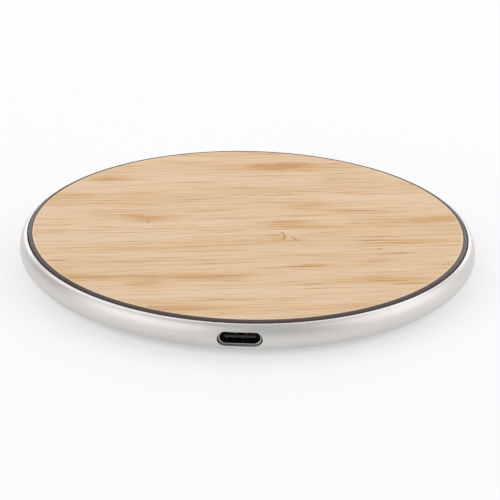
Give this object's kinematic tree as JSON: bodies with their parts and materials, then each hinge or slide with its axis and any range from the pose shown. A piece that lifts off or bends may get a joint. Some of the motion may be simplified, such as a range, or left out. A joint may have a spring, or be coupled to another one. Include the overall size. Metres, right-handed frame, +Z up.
{
  "type": "wireless charging pad",
  "caption": "Round low wireless phone charging pad with a bamboo top in an aluminium rim, and a USB-C inlet in its side.",
  "frame": {"origin": "on the table, under the centre of the pad, at the underside of the anti-slip ring", "axes": "+Z up out of the bamboo charging face; the USB-C inlet faces -Y; +X to the right seen from the inlet"},
  "size_m": [0.1, 0.0998, 0.008],
  "materials": {
    "adhesive_film": "thin double-sided tape",
    "bamboo": "pressed bamboo, sanded and oiled matt",
    "base_plastic": "spark-textured black ABS",
    "board_laminate": "green solder mask on glass laminate",
    "capacitor_ceramic": "multilayer ceramic",
    "chip_resin": "moulded epoxy",
    "contact_gold": "gold flash over copper alloy",
    "copper_wire": "enamelled stranded copper",
    "dark_plastic": "fine-grained black-brown ABS",
    "ferrite": "sintered, matt dark grey",
    "foam": "closed-cell foam",
    "inductor_ferrite": "pressed iron powder",
    "receptacle_resin": "black glass-filled nylon",
    "receptacle_steel": "nickel-plated drawn steel",
    "satin_aluminium": "fine bead-blasted and anodised, with a bright cut chamfer",
    "screw_steel": "zinc-plated",
    "sensor_ceramic": "thermistor ceramic",
    "silicone": "matt silicone rubber"
  },
  "bodies": {
    "root": {"anti_slip_ring": "silicone", "bamboo_disc": "bamboo", "base_cover": "base_plastic", "bridge_transistor_1": "chip_resin", "bridge_transistor_2": "chip_resin", "bridge_transistor_3": "chip_resin", "bridge_transistor_4": "chip_resin", "case_screw_1": "screw_steel", "case_screw_2": "screw_steel", "case_screw_3": "screw_steel", "case_screw_4": "screw_steel", "circuit_board": "board_laminate", "coil_lead_inner": "copper_wire", "coil_lead_outer": "copper_wire", "coil_tape": "adhesive_film", "controller_chip": "chip_resin", "current_shunt": "chip_resin", "disc_adhesive": "adhesive_film", "ferrite_plate": "ferrite", "ferrite_tape": "adhesive_film", "foam_pad": "foam", "input_capacitor_1": "capacitor_ceramic", "input_capacitor_2": "capacitor_ceramic", "metal_rim": "satin_aluminium", "power_inductor": "inductor_ferrite", "protocol_chip": "chip_resin", "resonant_capacitor_1": "capacitor_ceramic", "resonant_capacitor_2": "capacitor_ceramic", "resonant_capacitor_3": "capacitor_ceramic", "resonant_capacitor_4": "capacitor_ceramic", "temperature_sensor": "sensor_ceramic", "top_tray": "dark_plastic", "transmitter_coil": "copper_wire", "usb_contact_1": "contact_gold", "usb_contact_2": "contact_gold", "usb_contact_3": "contact_gold", "usb_contact_4": "contact_gold", "usb_contact_5": "contact_gold", "usb_contact_6": "contact_gold", "usb_housing": "receptacle_resin", "usb_shell": "receptacle_steel", "voltage_regulator": "chip_resin"}
  },
  "joints": []
}
